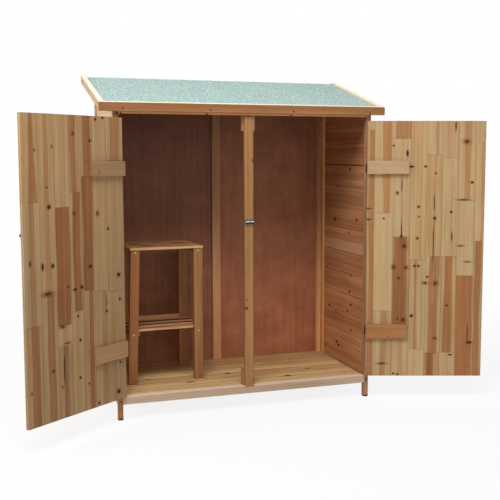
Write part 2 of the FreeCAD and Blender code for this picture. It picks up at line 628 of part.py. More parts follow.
middle = FreeCAD.Vector((TABLE_X0 + TABLE_X1) / 2, (TABLE_Y0 + TABLE_Y1) / 2, 0)
for name in table:
    turned = table[name].copy()
    turned.rotate(middle, up, TABLE_TURN_DEG)
    shapes[name] = turned

whole = Part.makeCompound(list(shapes.values())).BoundBox
print("nodes", len(shapes))
print("before the shift x", round(whole.XMin, 3), round(whole.XMax, 3), "y", round(whole.YMin, 3),
      round(whole.YMax, 3), "z", round(whole.ZMin, 3), round(whole.ZMax, 3))
for name, shape in shapes.items():
    moved = shape.copy()
    moved.translate(FreeCAD.Vector(-MIDDLE_X, -MIDDLE_Y, 0))
    assert moved.isValid(), name
    assert moved.Volume > 0, name
    moved.exportStep("parts/" + name + ".step")
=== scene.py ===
import math
import random

import bmesh
import bpy
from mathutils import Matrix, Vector


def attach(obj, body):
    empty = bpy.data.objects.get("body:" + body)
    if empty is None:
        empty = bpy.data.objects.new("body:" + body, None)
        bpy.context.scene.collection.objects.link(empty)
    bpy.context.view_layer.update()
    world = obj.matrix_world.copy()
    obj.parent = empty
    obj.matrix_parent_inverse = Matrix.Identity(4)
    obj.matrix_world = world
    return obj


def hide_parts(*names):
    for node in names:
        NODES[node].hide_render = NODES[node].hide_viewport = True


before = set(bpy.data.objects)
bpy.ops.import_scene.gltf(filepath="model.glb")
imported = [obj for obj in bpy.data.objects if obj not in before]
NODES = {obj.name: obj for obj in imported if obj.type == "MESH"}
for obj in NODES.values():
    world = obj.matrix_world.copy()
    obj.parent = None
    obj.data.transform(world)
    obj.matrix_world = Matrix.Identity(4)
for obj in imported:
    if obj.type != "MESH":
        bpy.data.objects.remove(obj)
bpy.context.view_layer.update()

random.seed(11)

# Which way a side lies along x, and the numbers of the axes.
SIGN = {"left": -1, "right": 1}
X, Y, Z = 0, 1, 2

# Cabinet coordinates in mm, with the sizes of the solids: x right, y back, z up, the leg fronts at y 0.
# The row's origin is on the ground at MIDDLE_X, MIDDLE_Y.
MIDDLE_X = 45.4
MIDDLE_Y = 109.3

ROOF_HALF_W = 700.0
ROOF_FRONT_Y = -20.0
ROOF_FRONT_Z = 1459.0
ROOF_SLOPE = 0.269
UNDER_ROOF = 22.0
BACK_Y = 600.0
RIM_H = 38.0
FASCIA_H = 39.0
BARGE_T = 25.0

LEG_OUT_X = 635.0
LEG_IN_X = 612.0
LEG_FRONT_DEPTH = 28.0
LEG_REAR_Y0 = 550.0
LEG_REAR_Y1 = 596.0
LEG_TOP_Z = ROOF_FRONT_Z - UNDER_ROOF
GROOVE_DEPTH = 6.0
BOARD_IN_X = 619.0
BOARD_OUT_X = 631.0
BOARD_Z = (110, 218, 288, 390, 492, 604, 716, 839, 950, 1061, 1172, 1283, 1394, 1505, 1600)
RAIL_Z1 = 110.0
FLOOR_T = 14.0
FLOOR_SEAMS = (45, 116, 198.5, 281, 363.5, 446, 528.5, 596)
FLOOR_GAP = 0.8
REAR_TOP_Z0 = 1552.0
BATTEN_T = 20.0
BATTEN_MIDDLE_W = 44.0
BATTEN_CORNER_X = (583.0, 609.0)
LINTEL_Z0 = 1404.0
POST_X0 = -20.0
POST_X1 = 23.0
POST_T = 18.0
POST_LET_IN = 6.0
BLOCK_T = 18.0
LOW_BLOCK_X0 = -30.0
LOW_BLOCK_X1 = 34.0
LOW_BLOCK_Z_LEFT = 194.0
LOW_BLOCK_Z_RIGHT = 183.0

DOOR_W = 584.0
DOOR_T = 16.0
DOOR_Z0 = 115.0
DOOR_Z1 = 1391.0
DOOR_EDGE_X = 609.5
HINGE_X = 610.75
HINGE_Y = -4.5
OPEN_DEG = {"left": -141.8, "right": 160.8}
STAVE_INSET = 0.8
CLEAT_LEN = 206.0
CLEAT_T = 16.0
LOWER_CLEAT = (308.0, 380.0)
UPPER_CLEAT = (1131.0, 1197.0)

TABLE_X0 = -543.0
TABLE_X1 = -178.0
TABLE_Y0 = 200.0
TABLE_Y1 = 524.0
TABLE_MID_X = (TABLE_X0 + TABLE_X1) / 2
TABLE_MID_Y = (TABLE_Y0 + TABLE_Y1) / 2
TABLE_TOP_Z = 779.5
TABLE_TURN_DEG = 2.5
TABLE_BOARDS = 4
TABLE_BOARD_T = 11.0
TABLE_BOARD_GAP = 3.0
TABLE_BOARD_W = (TABLE_Y1 - TABLE_Y0 + TABLE_BOARD_GAP) / TABLE_BOARDS - TABLE_BOARD_GAP
TABLE_LEG_W = 44.0
TABLE_LEG_T = 22.0
TABLE_LEG_LEAN = 21.5
TABLE_LEG_TOP = TABLE_TOP_Z - TABLE_BOARD_T
TABLE_LEG_X = (-538.0, -225.0)
TABLE_LEG_Y = (205.0, 485.0)
SHELF_TOP_Z = 377.0
SHELF_UNDER_Z = 367.0
SLAT_X = (-536.0, -183.0)
SLAT_Y = ((228, 325), (348, 400), (432, 480))
STRETCHER_H = 25.0

# The wall boards above TOP_BOARDS_Z are in the roof's shade: the right wall's get a dark, warm tone there,
# painted shade, and the left wall's a pale one, painted light on its sunlit outer face. The right wall's
# boards are also darker from DARKER_BOARDS_Z up, painted shade.
TOP_BOARDS_Z = 1170.0
DARKER_BOARDS_Z = 830.0

CAMERA_AT = (-1255.776, -3938.977, 1224.649)
CAMERA_DOWN_DEG = 5.9067
CAMERA_RIGHT_DEG = 19.0788

# The ground is a square in metres, a little under the feet of the cabinet.
GROUND_HALF = 40.0
GROUND_Z = -0.0005


def rise(y):
    """How much higher the roof slope is at y than at its front edge, in mm."""
    return ROOF_SLOPE * (y - ROOF_FRONT_Y)


# The place functions take a point in mm to the row frame in metres.
def place(x, y, z):
    """A point in cabinet coordinates."""
    return Vector(((x - MIDDLE_X) / 1000.0, (y - MIDDLE_Y) / 1000.0, z / 1000.0))


def lifted_above(level):
    """For a piece drawn with a level top: what is higher than level goes up along the roof slope."""
    def to_row(x, y, z):
        return place(x, y, z + (rise(y) if z > level else 0.0))

    return to_row


def low_block_place(x, y, z):
    """The block is drawn as high as its right end, and its top climbs to the left end."""
    climb = (LOW_BLOCK_Z_LEFT - LOW_BLOCK_Z_RIGHT) / (LOW_BLOCK_X1 - LOW_BLOCK_X0)
    at_top = z > (RAIL_Z1 + LOW_BLOCK_Z_RIGHT) / 2
    return place(x, y, z + (climb * (LOW_BLOCK_X1 - x) if at_top else 0.0))


def door_place(side):
    """Door coordinates: u from the hinge edge, v from the outer face, z up."""
    sign, turn = SIGN[side], math.radians(OPEN_DEG[side])

    def to_row(u, v, z):
        dx = sign * (DOOR_EDGE_X - u - HINGE_X)
        dy = v - HINGE_Y
        x = sign * HINGE_X + dx * math.cos(turn) - dy * math.sin(turn)
        y = HINGE_Y + dx * math.sin(turn) + dy * math.cos(turn)
        return place(x, y, z)

    return to_row


def table_place(x, y, z):
    """The table stands turned a little about its middle."""
    turn = math.radians(TABLE_TURN_DEG)
    dx, dy = x - TABLE_MID_X, y - TABLE_MID_Y
    return place(TABLE_MID_X + dx * math.cos(turn) - dy * math.sin(turn),
                 TABLE_MID_Y + dx * math.sin(turn) + dy * math.cos(turn), z)


def leaning_place(x, y, z):
    """The table's front left leg stands askew: its foot is further left than its top."""
    lean = TABLE_LEG_LEAN * (TABLE_LEG_TOP - z) / (TABLE_LEG_TOP - RAIL_Z1)
    return table_place(x - lean, y, z)


def make_camera():
    """Camera at the photograph's viewpoint."""
    data = bpy.data.cameras.new("camera")
    cam = bpy.data.objects.new("camera", data)
    bpy.context.scene.collection.objects.link(cam)
    cam.location = place(*CAMERA_AT)
    cam.rotation_euler = (math.radians(90 - CAMERA_DOWN_DEG), 0, math.radians(-CAMERA_RIGHT_DEG))
    data.sensor_width = 36.0
    data.lens = 62.657
    data.shift_x = -0.04
    data.shift_y = -0.01
    data.clip_end = 50
    bpy.context.scene.camera = cam


def srgb(colour):
    """Linear colour from the 8 bit red, green and blue of a picture."""
    out = []
    for c in colour:
        c = c / 255.0
        out.append(c / 12.92 if c <= 0.04045 else ((c + 0.055) / 1.055) ** 2.4)
    return (*out, 1.0)


def shade(colour, k):
    """The colour at k times its brightness."""
    return (*[c * k for c in colour[:3]], 1.0)


class Net:
    """One material's node tree with short helpers."""

    def __init__(self, name):
        self.mat = bpy.data.materials.new(name)
        self.mat.use_nodes = True
        self.tree = self.mat.node_tree
        self.bsdf = self.tree.nodes["Principled BSDF"]

    def node(self, kind, **props):
        n = self.tree.nodes.new(kind)
        for k, v in props.items():
            setattr(n, k, v)
        return n

    def put(self, socket, value):
        if isinstance(value, bpy.types.NodeSocket):
            self.tree.links.new(value, socket)
        else:
            socket.default_value = value

    def math(self, op, a, b=None, c=None, clamp=False):
        n = self.node("ShaderNodeMath", operation=op, use_clamp=clamp)
        for i, v in enumerate((a, b, c)):
            if v is not None:
                self.put(n.inputs[i], v)
        return n.outputs[0]

    def add(self, *terms, clamp=False):
        total = terms[0]
        for t in terms[1:]:
            total = self.math("ADD", total, t, clamp=clamp)
        return total

    def mul(self, a, b):
        return self.math("MULTIPLY", a, b)

    def centred(self, value, span):
        """A 0 to 1 value moved to the range around 0, scaled to the given span."""
        return self.math("MULTIPLY_ADD", value, span, -span / 2)

    def vec(self, op, a, b=None):
        n = self.node("ShaderNodeVectorMath", operation=op)
        self.put(n.inputs[0], a)
        if b is not None:
            self.put(n.inputs[1], b)
        return n.outputs["Value"] if op == "LENGTH" else n.outputs["Vector"]

    def split(self, v):
        n = self.node("ShaderNodeSeparateXYZ")
        self.put(n.inputs[0], v)
        return n.outputs

    def join(self, x, y, z):
        n = self.node("ShaderNodeCombineXYZ")
        for i, v in enumerate((x, y, z)):
            self.put(n.inputs[i], v)
        return n.outputs[0]

    def noise(self, v, stretch=(1, 1, 1), detail=2.0, rough=0.5, distort=0.0):
        n = self.node("ShaderNodeTexNoise")
        self.put(n.inputs["Vector"], self.vec("MULTIPLY", v, stretch))
        self.put(n.inputs["Scale"], 1.0)
        self.put(n.inputs["Detail"], detail)
        self.put(n.inputs["Roughness"], rough)
        self.put(n.inputs["Distortion"], distort)
        return n.outputs[0]

    def step(self, v, low, high, out_low=0.0, out_high=1.0):
        n = self.node("ShaderNodeMapRange", interpolation_type="SMOOTHSTEP")
        for i, x in enumerate((v, low, high, out_low, out_high)):
            self.put(n.inputs[i], x)
        return n.outputs[0]

    def mix(self, f, a, b, blend="MIX"):
        n = self.node("ShaderNodeMix", data_type="RGBA", blend_type=blend)
        self.put(n.inputs[0], f)
        self.put(n.inputs[6], a)
        self.put(n.inputs[7], b)
        return n.outputs[2]

    def dim(self, colour, k):
        """Colour times a brightness."""
        return self.vec("MULTIPLY", colour, self.join(k, k, k))

    def facing(self, axis):
        """How far the surface faces along an axis of the row, from -1 to 1."""
        return self.split(self.node("ShaderNodeNewGeometry").outputs["Normal"])[axis]

    def attr(self, name):
        return self.node("ShaderNodeAttribute", attribute_name=name).outputs["Vector"]

    def bump(self, height, strength, distance):
        n = self.node("ShaderNodeBump")
        self.put(n.inputs["Height"], height)
        self.put(n.inputs["Strength"], strength)
        self.put(n.inputs["Distance"], distance)
        self.put(self.bsdf.inputs["Normal"], n.outputs[0])


# Wood. The grain frame is in metres and has its third axis along the grain.
PITH_AT = (0.013, 0.045)
RING_WIDTH = 0.0062
KNOT_CELLS_PER_M = (11.0, 9.0)
KNOT_DARK = srgb((46, 17, 5))
EYE_RING = srgb((86, 42, 22))
COOL_TINT = (0.97, 1.0, 1.05, 1)
WARM_TINT = (1.04, 0.98, 0.90, 1)


def board_fields(w, line):
    """Grain, heartwood, tone, hue and the rim of the broad faces, from the attributes of a Boards piece."""
    g = w.attr("grain_place")
    spot, half = w.split(w.attr("board_place")), w.split(w.attr("board_half"))
    band, tone = w.split(w.attr("board_band")), w.split(w.attr("board_tone"))
    drift = w.centred(w.noise(g, (3, 3, 2.2), 1.0), 0.020)
    centre = w.add(band[0], drift)
    wander = w.centred(w.noise(g, (9, 9, 3.3), 1.0), 0.009)
    wide = w.math("MAXIMUM", w.add(band[1], w.mul(spot[1], tone[1]), wander), 0.002)
    off = w.math("ABSOLUTE", w.math("SUBTRACT", spot[0], centre))
    off = w.math("SUBTRACT", off, wide)
    fray = w.centred(w.noise(g, (150, 150, 2.4), 3.0, 0.6), 0.011)
    heart = w.mul(w.step(w.add(off, fray), -0.0016, 0.0026, 1.0, 0.0), band[2])
    inset = [w.math("SUBTRACT", half[i], w.math("ABSOLUTE", spot[i])) for i in range(3)]
    rim = w.mul(w.step(w.math("MINIMUM", inset[0], inset[1]), 0.0002, line, 1.0, 0.0),
                w.step(inset[2], 0.0004, 0.0014, 1.0, 0.0))
    return g, heart, tone[0], tone[2], rim


def axis_fields(w, axis, band):
    """The same for a CAD node, whose grain runs along one axis of the row, and which has no rim."""
    o = w.split(w.node("ShaderNodeTexCoord").outputs["Object"])
    g = w.join(*[o[i] for i in {"x": (1, 2, 0), "y": (0, 2, 1), "z": (0, 1, 2)}[axis]])
    heart = w.mul(w.step(w.noise(g, (16, 16, 0.9), 1.0), 0.46, 0.6), band)
    tone = w.noise(g, (5, 5, 0.7), 1.0)
    hue = w.centred(w.noise(g, (3, 3, 0.4), 1.0), 1.2)
    return g, heart, tone, hue, 0.0


def growth(w, g, ring, tone):
    """Shade from light 0 to dark 1, with the late wood and the fibres that it is made of."""
    gx = w.split(g)
    warp = w.noise(g, (9, 9, 1.0), 2.0)
    radius = w.vec("LENGTH", w.join(w.add(gx[0], PITH_AT[0]), w.add(gx[1], PITH_AT[1]), 0.0))
    radius = w.add(radius, w.mul(warp, 0.06))
    late = w.math("POWER", w.math("FRACT", w.math("DIVIDE", radius, RING_WIDTH)), 2.2)
    fibre = w.noise(g, (420, 420, 6), 3.0, 0.6)
    streak = w.noise(g, (85, 85, 1.3), 3.0, 0.6)
    cloud = w.noise(g, (12, 12, 4), 2.0)
    f = w.add(w.mul(late, ring), w.centred(fibre, 0.75), w.centred(streak, 1.5), w.centred(cloud, 0.6),
              w.mul(tone, 0.7))
    return w.math("ADD", f, 0.0, clamp=True), late, fibre


def scattered_knots(w, colour, g, fray, share, brown):
    """Small knots in that share of the cells of a grid."""
    gx = w.split(g)
    cell = w.node("ShaderNodeTexVoronoi", voronoi_dimensions="2D", feature="F1")
    cells = [w.mul(gx[i], per_m) for i, per_m in zip((0, 2), KNOT_CELLS_PER_M)]
    w.put(cell.inputs["Vector"], w.join(*cells, 0.0))
    w.put(cell.inputs["Scale"], 1.0)
    has = w.split(cell.outputs["Color"])
    size = w.math("MULTIPLY_ADD", has[1], 0.034, 0.018)
    d = w.add(w.math("DIVIDE", cell.outputs["Distance"], size), fray)
    keep = w.math("GREATER_THAN", has[0], 1.0 - share)
    colour = w.mix(w.mul(w.step(d, 0.9, 3.0, 0.5, 0.0), keep), colour, brown)
    core = w.mul(w.step(d, 0.6, 1.2, 1.0, 0.0), keep)
    return w.mix(w.mul(core, 0.8), colour, KNOT_DARK)


def nearest_mark(w, plane, marks):
    """Distance to the nearest mark, 1 at its rim, on the plane of two axes of the drawn piece."""
    raw = w.split(w.attr("raw_place"))
    flat = w.join(*[raw["xyz".index(c)] for c in plane], 0.0)
    flat = w.vec("MULTIPLY", flat, (1000, 1000, 0))
    best = 9.0
    for a, b, ra, rb in marks:
        off = w.vec("MULTIPLY", w.vec("SUBTRACT", flat, (a, b, 0)), (1.0 / ra, 1.0 / rb, 0))
        best = w.math("MINIMUM", w.vec("LENGTH", off), best)
    return best


def placed_eyes(w, colour, fray, plane, eyes, heart):
    """Large knots at given places: a reddish halo, a brown ring and a dark core."""
    d = w.add(w.mul(nearest_mark(w, plane, eyes), 0.85), fray)
    colour = w.mix(w.step(d, 0.8, 2.6, 0.65, 0.0), colour, shade(heart, 0.66))
    colour = w.mix(w.step(d, 0.6, 1.1, 0.85, 0.0), colour, EYE_RING)
    return w.mix(w.step(d, 0.2, 0.5, 0.7, 0.0), colour, KNOT_DARK)


def placed_specks(w, colour, fray, plane, specks, brown):
    """Small dark knots and lines at given places; some of the lines are painted shade along gaps between
    boards and at the feet of the legs.
    """
    d = w.add(w.mul(nearest_mark(w, plane, specks), 0.72), fray)
    colour = w.mix(w.step(d, 1.0, 2.4, 0.4, 0.0), colour, brown)
    return w.mix(w.step(d, 0.85, 1.25, 0.95, 0.0), colour, KNOT_DARK)


def pale_strip(w, colour, low_z, high_z, pale):
    """A paler strip between two heights on the inner face of a side wall."""
    raw = w.split(w.attr("raw_place"))
    above = w.math("GREATER_THAN", raw[2], low_z / 1000.0)
    below = w.math("LESS_THAN", raw[2], high_z / 1000.0)
    on_face = w.math("COMPARE", raw[0], BOARD_IN_X / 1000.0, 0.002)
    inside = w.mul(w.mul(above, below), on_face)
    return w.mix(w.mul(inside, 0.6), colour, srgb(pale))


def wood(name, light, dark, heart, axis=None, band=0.4, ring=0.3, knots=0.2, joint=0.3, line=0.0024,
         plane="xz", specks=(), eyes=(), pale=None, top=None, front=None, painted_light_by_height=None):
    """Softwood, for Boards pieces or, where axis gives the run of the grain, for a CAD node.

    light and dark are the colours of the sapwood, and heart is that of the heartwood. band is the
    strength of the heartwood in a CAD node, ring that of the growth rings, and knots is the share of
    the cells of a grid that have a knot.
    joint and line are the strength and the width in metres of the dark line round a board. specks and
    eyes are marks on the plane, and pale is (low z, high z, colour) of a paler strip. top and front are
    painted light: top is a painted highlight, the colour of faces that look up, and front the colour of
    faces that look forward. The last argument is painted light and shade by height: the brightness at
    the foot and 1.5 m up.
    """
    w = Net(name)
    light, dark, heart = [srgb(c) for c in (light, dark, heart)]
    g, heart_f, tone, hue, rim = board_fields(w, line) if axis is None else axis_fields(w, axis, band)
    f, late, fibre = growth(w, g, ring, tone)
    deep = w.mix(w.math("MULTIPLY_ADD", f, 0.9, 0.0, clamp=True), shade(heart, 1.2), shade(heart, 0.58))
    colour = w.mix(heart_f, w.mix(f, light, dark), deep)
    tint = w.mix(w.math("MULTIPLY_ADD", hue, 0.5, 0.5, clamp=True), COOL_TINT, WARM_TINT)
    colour = w.mix(1.0, colour, tint, "MULTIPLY")
    fray = w.centred(w.noise(g, (160, 160, 70), 2.0), 0.7)
    brown = shade(heart, 0.42)
    colour = scattered_knots(w, colour, g, fray, knots, brown)
    if eyes:
        colour = placed_eyes(w, colour, fray, plane, eyes, heart)
    if specks:
        colour = placed_specks(w, colour, fray, plane, specks, brown)
    if joint > 0 and axis is None:
        colour = w.mix(w.mul(rim, joint), colour, shade(heart, 0.2))
    if pale:
        colour = pale_strip(w, colour, *pale)
    # Painted highlight: faces that look up take the top colour.
    if top:
        colour = w.mix(w.step(w.facing(Z), 0.55, 0.85, 0.0, 0.9), colour, srgb(top))
    # Painted light: faces that look forward take the front colour.
    if front:
        colour = w.mix(w.step(w.facing(Y), -0.85, -0.35, 0.8, 0.0), colour, srgb(front))
    # Painted light and shade: the colour is dimmed or brightened by height.
    if painted_light_by_height:
        colour = w.dim(colour, w.step(w.split(w.attr("raw_place"))[2], 0.1, 1.5, *painted_light_by_height))
    w.put(w.bsdf.inputs["Base Color"], colour)
    w.put(w.bsdf.inputs["Roughness"], w.math("MULTIPLY_ADD", fibre, 0.25, 0.5))
    w.bsdf.inputs["Specular IOR Level"].default_value = 0.18
    w.bump(w.add(fibre, w.mul(late, 0.6)), 0.45, 0.0004)
    return w.mat


def plywood(name, light, dark, along="z", painted_light_grade=None):
    """Rotary cut face. The last argument is painted light and shade: (brightness of the left sheet, more on
    the right one, more at the foot).
    """
    w = Net(name)
    o = w.split(w.node("ShaderNodeTexCoord").outputs["Object"])
    right = w.math("GREATER_THAN", o[0], -MIDDLE_X / 1000.0)
    g = w.join(w.add(o[0], w.mul(right, 3.7)), 0.0, o["xyz".index(along)])
    big = w.noise(g, (2.4, 1, 0.7), 2.0, 0.5, 0.5)
    rings = w.math("POWER", w.math("FRACT", w.mul(big, 15.0)), 2.0)
    fine = w.noise(g, (330, 1, 40), 3.0, 0.7)
    stripe = w.noise(g, (60, 1, 1.4), 3.0, 0.6)
    cloud = w.noise(g, (6, 1, 7), 4.0, 0.65)
    dash = w.step(w.noise(g, (16, 1, 110), 3.0, 0.6), 0.60, 0.74)
    f = w.add(w.mul(rings, 0.08), w.centred(fine, 0.7), w.centred(stripe, 0.8), w.centred(cloud, 1.3), 0.42)
    f = w.math("ADD", f, w.mul(dash, 0.45), clamp=True)
    colour = w.mix(f, srgb(light), srgb(dark))
    # Painted shade on the left sheet and painted light towards the foot.
    if painted_light_grade:
        foot = w.step(o[2], 0.0, 1.5, painted_light_grade[2], 0.0)
        colour = w.dim(colour, w.add(painted_light_grade[0], w.mul(right, painted_light_grade[1]), foot))
    w.put(w.bsdf.inputs["Base Color"], colour)
    w.put(w.bsdf.inputs["Roughness"], w.math("MULTIPLY_ADD", fine, 0.2, 0.5))
    w.bsdf.inputs["Specular IOR Level"].default_value = 0.3
    w.bump(fine, 0.4, 0.0003)
    return w.mat


def felt(name):
    """Mineral roof felt: coloured grit, with paler patches."""
    w = Net(name)
    o = w.node("ShaderNodeTexCoord").outputs["Object"]
    cell = w.node("ShaderNodeTexVoronoi", feature="F1")
    w.put(cell.inputs["Vector"], o)
    w.put(cell.inputs["Scale"], 250.0)
    grain = w.split(cell.outputs["Color"])[0]
    patch = w.noise(o, (110, 110, 110), 2.0, 0.6)
    worn = w.noise(o, (4, 4, 4), 2.0)
    colour = w.mix(w.step(grain, 0.1, 0.9), srgb((108, 142, 139)), srgb((184, 203, 198)))
    colour = w.mix(w.step(patch, 0.42, 0.68), colour, srgb((196, 216, 210)))
    colour = w.mix(w.mul(worn, 0.2), colour, srgb((150, 176, 166)))
    w.put(w.bsdf.inputs["Base Color"], colour)
    w.bsdf.inputs["Roughness"].default_value = 0.95
    w.bsdf.inputs["Specular IOR Level"].default_value = 0.2
    w.bump(grain, 0.6, 0.0012)
    return w.mat


def metal(name, colour, rough, brushed=0.15, metallic=1.0, under=None):
    """under is painted shade: a darker colour for faces that do not look up, most of all those that look
    down.
    """
    w = Net(name)
    colour = srgb(colour)
    o = w.node("ShaderNodeTexCoord").outputs["Object"]
    fine = w.noise(o, (900, 900, 900))
    spangle = w.noise(o, (140, 140, 140))
    mixed = w.mix(w.mul(spangle, 0.4), colour, shade(colour, 0.6))
    # Painted shade: faces that do not look up take the darker under colour.
    if under:
        mixed = w.mix(w.step(w.facing(Z), -0.2, 0.6, 1.0, 0.0), mixed, srgb(under))
    w.put(w.bsdf.inputs["Base Color"], mixed)
    w.bsdf.inputs["Metallic"].default_value = metallic
    w.bsdf.inputs["Specular IOR Level"].default_value = 0.5 if metallic else 0.05
    w.put(w.bsdf.inputs["Roughness"], w.math("MULTIPLY_ADD", fine, brushed, rough))
    w.bump(fine, 0.15, 0.0001)
    return w.mat


# Marks that stand out in the photograph, placed one by one. EYES are large knots, SPECKS are small knots
# and short dark lines, the marks at the feet are the dark lower ends of the front legs, painted shade, the
# marks along the gaps of the table's top boards and on the front edges of its middle and rear shelf slats
# are painted shade between boards, and the rest are long dark lines.
# Each mark is (a, b, half a, half b) in mm. a and b are u and z on the doors, y and z on the side walls,
# x and z on the frame, and x and y on the floor and the table.
RIGHT_SPECKS = (
    (434, 1368, 2, 14), (130, 1270, 3, 3), (198, 1232, 4, 9), (219, 1167, 8, 3), (288, 1168, 4, 4),
    (338, 1135, 3, 3), (519, 1090, 5, 4), (173, 1075, 1.5, 18), (257, 969, 4, 4), (419, 944, 4, 4),
    (338, 913, 5, 5), (334, 987, 1.5, 26), (85, 911, 3, 3), (174, 846, 1.5, 30), (174, 825, 4, 4),
    (253, 813, 4, 4), (333, 782, 1.5, 62), (425, 820, 2, 14), (242, 674, 4, 4), (261, 674, 4, 4),
    (306, 619, 3.5, 3.5), (163, 613, 4, 4), (406, 475, 3.5, 3.5), (230, 422, 5, 5), (522, 286, 9, 4),
    (512, 325, 1.5, 38), (427, 223, 7, 2.5), (143, 126, 4, 3), (164, 122, 4, 3), (259, 920, 2.5, 2.5),
)
RIGHT_EYES = (
    (489, 1290, 12, 8), (151, 1038, 5, 6), (478, 1004, 21, 3), (10, 960, 10, 3), (11, 907, 8, 4),
    (469, 775, 12, 3), (188, 773, 10, 12), (506, 695, 14, 2.5), (138, 668, 8, 9), (198, 665, 8, 8),
    (295, 588, 10, 5), (346, 586, 9, 9), (188, 402, 11, 10), (160, 408, 5, 5), (348, 308, 8, 5),
    (83, 178, 16, 4),
)
LEFT_SPECKS = (
    (169, 1377, 4, 4), (124, 1386, 4, 4), (205, 1285, 4, 4), (445, 1014, 6, 6), (456, 1093, 2.5, 3),
    (102, 901, 4, 4), (216, 746, 5, 5), (433, 770, 5, 6), (488, 772, 4, 9), (553, 791, 3, 7),
    (270, 662, 5, 5), (310, 656, 6, 4), (40, 689, 7, 6), (35, 578, 4, 4), (121, 535, 4, 4),
    (295, 539, 3, 3), (285, 434, 4, 4), (382, 332, 2, 40), (444, 330, 4, 4), (290, 270, 4, 4),
    (238, 232, 3, 3), (52, 155, 7, 7), (179, 131, 4, 4), (38, 288, 3, 3),
)
LEFT_EYES = (
    (304, 1313, 6, 6), (305, 979, 6, 6), (167, 972, 6, 7), (462, 657, 20, 7), (387, 508, 10, 5),
    (121, 577, 2, 16), (361, 434, 12, 3), (516, 1244, 3, 4), (422, 1259, 3, 4), (349, 672, 4, 4),
)
WALL_SPECKS = (
    (211, 1149, 6, 4), (361, 1060, 6, 3), (402, 879, 9, 5), (122, 893, 7, 4), (220, 820, 5, 3),
    (182, 598, 5, 3), (203, 509, 6, 4), (469, 397, 7, 4), (184, 442, 6, 4), (226, 404, 6, 3),
    (175, 309, 5, 3), (365, 209, 8, 4), (343, 195, 7, 4),
)
WALL_SEAMS = ((289, 1172, 290, 1.8), (289, 776, 290, 0.8), (289, 716, 290, 0.8))
POST_SPECKS = ((-13, 492, 4, 4), (-10, 532, 2, 2))
# Painted shade: dark marks at the lower ends of the front legs, near the ground.
PAINTED_FOOT_SHADE = ((-623, 2, 16, 3.5), (623, 2, 16, 3.5))
FLOOR_SPECKS = (
    (391, 228, 8, 4), (244, 124, 12, 6), (-33, 263, 9, 5), (-253, 161, 14, 5), (-442, 278, 10, 4),
)
# Painted shade along the gaps between the table's top boards.
TABLE_GAP_SHADE = ((-360, 280, 190, 4), (-360, 361.9, 190, 4), (-360, 443.6, 190, 4))
TABLE_STREAKS = ((-300, 236, 60, 2), (-420, 320, 50, 3), (-260, 400, 40, 3), (-440, 262, 30, 3))
TABLE_EYES = (
    (-365, 452, 40, 14), (-487, 380, 28, 12), (-443, 308, 34, 11), (-265, 358, 40, 14),
    (-300, 226, 36, 9), (-345, 272, 24, 10),
)
# Painted shade on the front edges of the middle and rear shelf slats, in the gaps between slats.
SLAT_EDGE_SHADE = ((-360, 348, 190, 2.6), (-360, 432, 190, 2.6))
SLAT_STREAKS = ((-420, 262, 60, 3), (-300, 286, 70, 3), (-340, 376, 80, 3))

# Materials. Colours are red, green and blue as in a picture.
# Both doors carry painted light and shade by height; the left door is darker at its foot.
door_woods = {
    "left": wood("door_wood_left", (182, 152, 112), (149, 113, 72), (139, 85, 47), knots=0.05,
                 joint=0.35, specks=LEFT_SPECKS, eyes=LEFT_EYES, painted_light_by_height=(0.78, 1.0)),
    "right": wood("door_wood_right", (186, 159, 118), (151, 116, 73), (152, 99, 57), knots=0.05,
                  joint=0.35, specks=RIGHT_SPECKS, eyes=RIGHT_EYES, painted_light_by_height=(1.0, 0.96)),
}
cleat_woods = {
    "left": wood("cleat_wood_left", (168, 138, 102), (142, 106, 70), (140, 94, 56), joint=0.15),
    "right": wood("cleat_wood_right", (178, 149, 112), (152, 116, 76), (154, 104, 58), joint=0.15),
}
# The left wall's copy of the cladding wood is paler, painted light on its sunlit outer face; the right
# wall's is painted lighter at its foot and darker higher up.
wall_woods = {
    "left": wood("wall_wood_left", (240, 206, 162), (204, 162, 118), (188, 138, 96), ring=0.5,
                 knots=0.12, joint=0.6, plane="yz", specks=WALL_SPECKS + WALL_SEAMS),
    "right": wood("wall_wood_right", (202, 148, 104), (150, 98, 62), (160, 104, 66), ring=0.6,
                  knots=0.12, joint=0.6, plane="yz", specks=WALL_SPECKS + WALL_SEAMS,
                  pale=(716, 776, (188, 152, 118)), painted_light_by_height=(1.18, 0.95)),
}
floor_wood = wood("floor_wood", (218, 185, 135), (160, 121, 74), (162, 112, 66), ring=0.6,
                  knots=0.08, joint=0.8, line=0.005, plane="xy", specks=FLOOR_SPECKS)
leg_wood = wood("table_leg_wood", (172, 125, 80), (133, 89, 54), (140, 88, 52), knots=0.15)
# The top boards' forward faces carry painted light.
top_wood = wood("top_board_wood", (206, 162, 114), (144, 98, 60), (150, 100, 60), ring=0.6,
                knots=0.15, joint=0.0, plane="xy", specks=TABLE_GAP_SHADE + TABLE_STREAKS, eyes=TABLE_EYES,
                front=(196, 156, 112))
slat_wood = wood("slat_wood", (214, 170, 120), (164, 118, 76), (150, 100, 60), ring=0.5, knots=0.15,
                 joint=0.0, plane="xy", specks=SLAT_EDGE_SHADE + SLAT_STREAKS)
frame_wood = wood("frame_wood", (166, 126, 82), (134, 93, 55), (134, 86, 50), knots=0.1, joint=0.1,
                  specks=POST_SPECKS)
